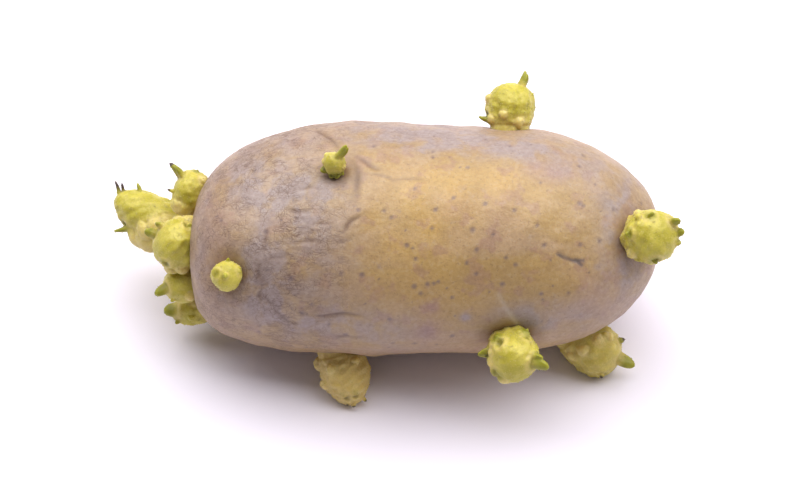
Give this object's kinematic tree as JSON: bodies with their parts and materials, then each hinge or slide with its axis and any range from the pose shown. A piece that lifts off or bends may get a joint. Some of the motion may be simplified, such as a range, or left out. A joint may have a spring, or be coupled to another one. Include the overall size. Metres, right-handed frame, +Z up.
{
  "type": "sprouting potato",
  "caption": "Long blunt table potato with ochre, grey-flushed skin that has started to sprout: short thick yellow-green shoots grow from its eyes, bunched at one end.",
  "frame": {"origin": "on the ground, under the middle of the whole outline as seen from above", "axes": "+X runs along the tuber from the crown end, which has the bunch of sprouts, to the heel end; +Y is the back; +Z is up"},
  "size_m": [0.1276, 0.0702, 0.0585],
  "materials": {
    "skin": "thin potato skin, ochre with a grey flush, dull with a soft sheen",
    "sprout": "firm yellow-green plant flesh, finely grained and matt"
  },
  "bodies": {
    "root": {"tuber": "skin", "sprout_front_left": "sprout", "sprout_upper": "sprout", "sprout_top": "sprout", "sprout_heel": "sprout", "sprout_front_low": "sprout", "sprout_heel_foot": "sprout", "sprout_front_foot": "sprout", "sprout_crown_top": "sprout", "sprout_crown_long": "sprout", "sprout_crown_middle": "sprout", "sprout_crown_low": "sprout", "sprout_crown_foot": "sprout", "sprout_back_upper": "sprout", "sprout_back_low": "sprout"}
  },
  "joints": []
}
